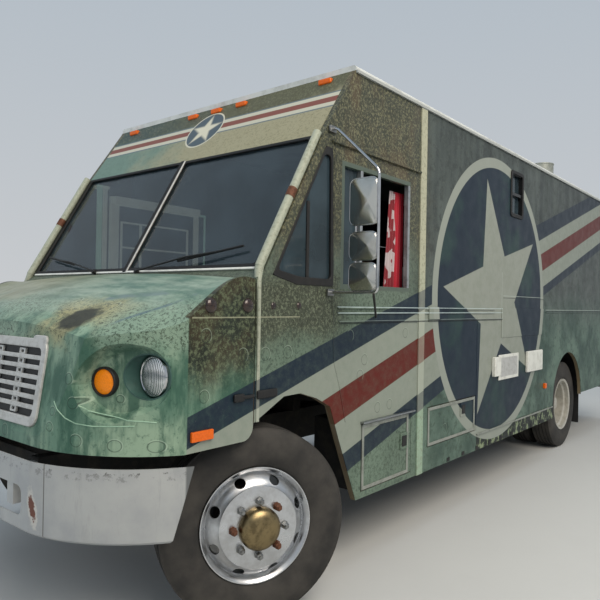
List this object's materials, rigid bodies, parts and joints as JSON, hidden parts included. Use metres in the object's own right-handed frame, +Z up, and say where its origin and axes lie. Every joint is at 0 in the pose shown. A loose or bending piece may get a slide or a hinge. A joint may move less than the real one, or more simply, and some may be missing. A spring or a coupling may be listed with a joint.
{
  "type": "walk-in van food truck",
  "caption": "Food truck on a walk-in van chassis: tilting mint nose, striped dark sides with a star roundel, serving hatch, sliding cab door, rear doors and lockers.",
  "frame": {"origin": "on the ground under the middle of the vehicle's bounding box", "axes": "+X towards the vehicle's left side, -Y towards its front, +Z up"},
  "size_m": [3.128, 8.66, 3.3349],
  "materials": {
    "amber_plastic": "clear amber",
    "bare_aluminium": "mill finish",
    "black_rubber": "matt",
    "body_paint": "weathered dark grey-green paint",
    "bumper_paint": "chipped pale grey paint",
    "cast_iron": "rough",
    "chassis_paint": "dusty black paint",
    "curtain_cloth": "woven",
    "grey_plastic": "grained",
    "hood_paint": "weathered mint paint over old red primer",
    "lamp_glass": "fluted",
    "mirror_chrome": "polished",
    "polished_aluminium": "polished",
    "red_plastic": "clear red",
    "seat_vinyl": "worn black vinyl",
    "stainless": "brushed",
    "stripe_side_paint": "weathered paint with slanted stripes",
    "trim_paint": "worn cream paint",
    "tyre_rubber": "dusty",
    "white_paint": "satin white paint",
    "window_glass": "tinted"
  },
  "bodies": {
    "truck": {"body_trim": "trim_paint", "cab_front": "body_paint", "chassis_frame": "chassis_paint", "curtain": "curtain_cloth", "dashboard": "grey_plastic", "engine_block": "cast_iron", "exhaust": "stainless", "floor": "chassis_paint", "floor_sills": "chassis_paint", "front_axle": "chassis_paint", "front_bumper": "bumper_paint", "front_cap": "body_paint", "fuel_tank": "bare_aluminium", "galley_units": "stainless", "glazing": "window_glass", "left_wall": "stripe_side_paint", "locker_tubs": "chassis_paint", "marker_lamps": "amber_plastic", "mirrors": "mirror_chrome", "mud_flaps": "black_rubber", "pillar_covers": "trim_paint", "propshaft": "chassis_paint", "rear_axle": "chassis_paint", "rear_bumper": "chassis_paint", "rear_wall": "body_paint", "right_wall": "stripe_side_paint", "roof": "white_paint", "roof_fan": "bare_aluminium", "seat_base": "chassis_paint", "seat_cushions": "seat_vinyl", "service_boxes": "white_paint", "step_well": "chassis_paint", "tail_lamps": "red_plastic", "window_frames": "bare_aluminium", "wipers": "grey_plastic"},
    "steer_left": {"knuckle_left": "chassis_paint"},
    "steer_right": {"knuckle_right": "chassis_paint"},
    "wheel_front_left": {"front_wheel_left": "polished_aluminium", "front_tyre_left": "tyre_rubber"},
    "wheel_front_right": {"front_wheel_right": "polished_aluminium", "front_tyre_right": "tyre_rubber"},
    "wheels_rear_left": {"rear_wheels_left": "polished_aluminium", "rear_tyres_left": "tyre_rubber"},
    "wheels_rear_right": {"rear_wheels_right": "polished_aluminium", "rear_tyres_right": "tyre_rubber"},
    "nose": {"hood": "hood_paint", "grille": "bare_aluminium", "front_lamps": "lamp_glass"},
    "serving_hatch": {"serving_hatch": "body_paint"},
    "serving_shelf": {"serving_shelf": "stainless"},
    "cab_door": {"cab_door": "body_paint"},
    "rear_door_left": {"rear_door_left": "body_paint"},
    "rear_door_right": {"rear_door_right": "body_paint"},
    "front_locker_door": {"front_locker_door": "stripe_side_paint"},
    "middle_locker_door": {"middle_locker_door": "stripe_side_paint"}
  },
  "joints": [
    {"name": "steer_left", "type": "hinge", "parent": "truck", "child": "steer_left", "pos_m": [0.9, -3.257, 0.5], "axis": [0, 0, 1], "range_deg": [-7.7, 62.3]},
    {"name": "steer_right", "type": "hinge", "parent": "truck", "child": "steer_right", "pos_m": [-0.9, -3.257, 0.5], "axis": [0, 0, 1], "range_deg": [-7.7, 62.3]},
    {"name": "spin_front_left", "type": "hinge", "parent": "steer_left", "child": "wheel_front_left", "pos_m": [1.11327, -3.36708, 0.5], "axis": [0.8886, -0.4587, 0], "continuous": true},
    {"name": "spin_front_right", "type": "hinge", "parent": "steer_right", "child": "wheel_front_right", "pos_m": [-1.11327, -3.14692, 0.5], "axis": [0.8886, -0.4587, 0], "continuous": true},
    {"name": "spin_rear_left", "type": "hinge", "parent": "truck", "child": "wheels_rear_left", "pos_m": [0.883, 1.942, 0.5], "axis": [1, 0, 0], "continuous": true},
    {"name": "spin_rear_right", "type": "hinge", "parent": "truck", "child": "wheels_rear_right", "pos_m": [-0.883, 1.942, 0.5], "axis": [1, 0, 0], "continuous": true},
    {"name": "nose_tilt", "type": "hinge", "parent": "truck", "child": "nose", "pos_m": [0, -4.265, 0.985], "axis": [1, 0, 0], "range_deg": [0, 62]},
    {"name": "hatch_lift", "type": "hinge", "parent": "truck", "child": "serving_hatch", "pos_m": [-1.224, 0.7, 2.448], "axis": [0, 1, 0], "range_deg": [0, 95]},
    {"name": "shelf_lift", "type": "hinge", "parent": "truck", "child": "serving_shelf", "pos_m": [-1.236, 0.7, 1.42], "axis": [0, 1, 0], "range_deg": [0, 90]},
    {"name": "cab_door_slide", "type": "slide", "parent": "truck", "child": "cab_door", "axis": [0, 1, 0], "range_m": [0, 0.68]},
    {"name": "rear_door_left_swing", "type": "hinge", "parent": "truck", "child": "rear_door_left", "pos_m": [0.7, 4.204, 1.9], "axis": [0, 0, -1], "range_deg": [0, 110]},
    {"name": "rear_door_right_swing", "type": "hinge", "parent": "truck", "child": "rear_door_right", "pos_m": [-0.7, 4.204, 1.9], "axis": [0, 0, 1], "range_deg": [0, 110]},
    {"name": "front_locker_swing", "type": "hinge", "parent": "truck", "child": "front_locker_door", "pos_m": [1.224, -2.483, 0.68], "axis": [0, 0, -1], "range_deg": [0, 110]},
    {"name": "middle_locker_drop", "type": "hinge", "parent": "truck", "child": "middle_locker_door", "pos_m": [1.226, -1.18, 0.594], "axis": [0, 1, 0], "range_deg": [0, 110]}
  ],
  "couplings": [
    {"joint": "steer_right", "follows": "steer_left", "ratio": 1}
  ]
}
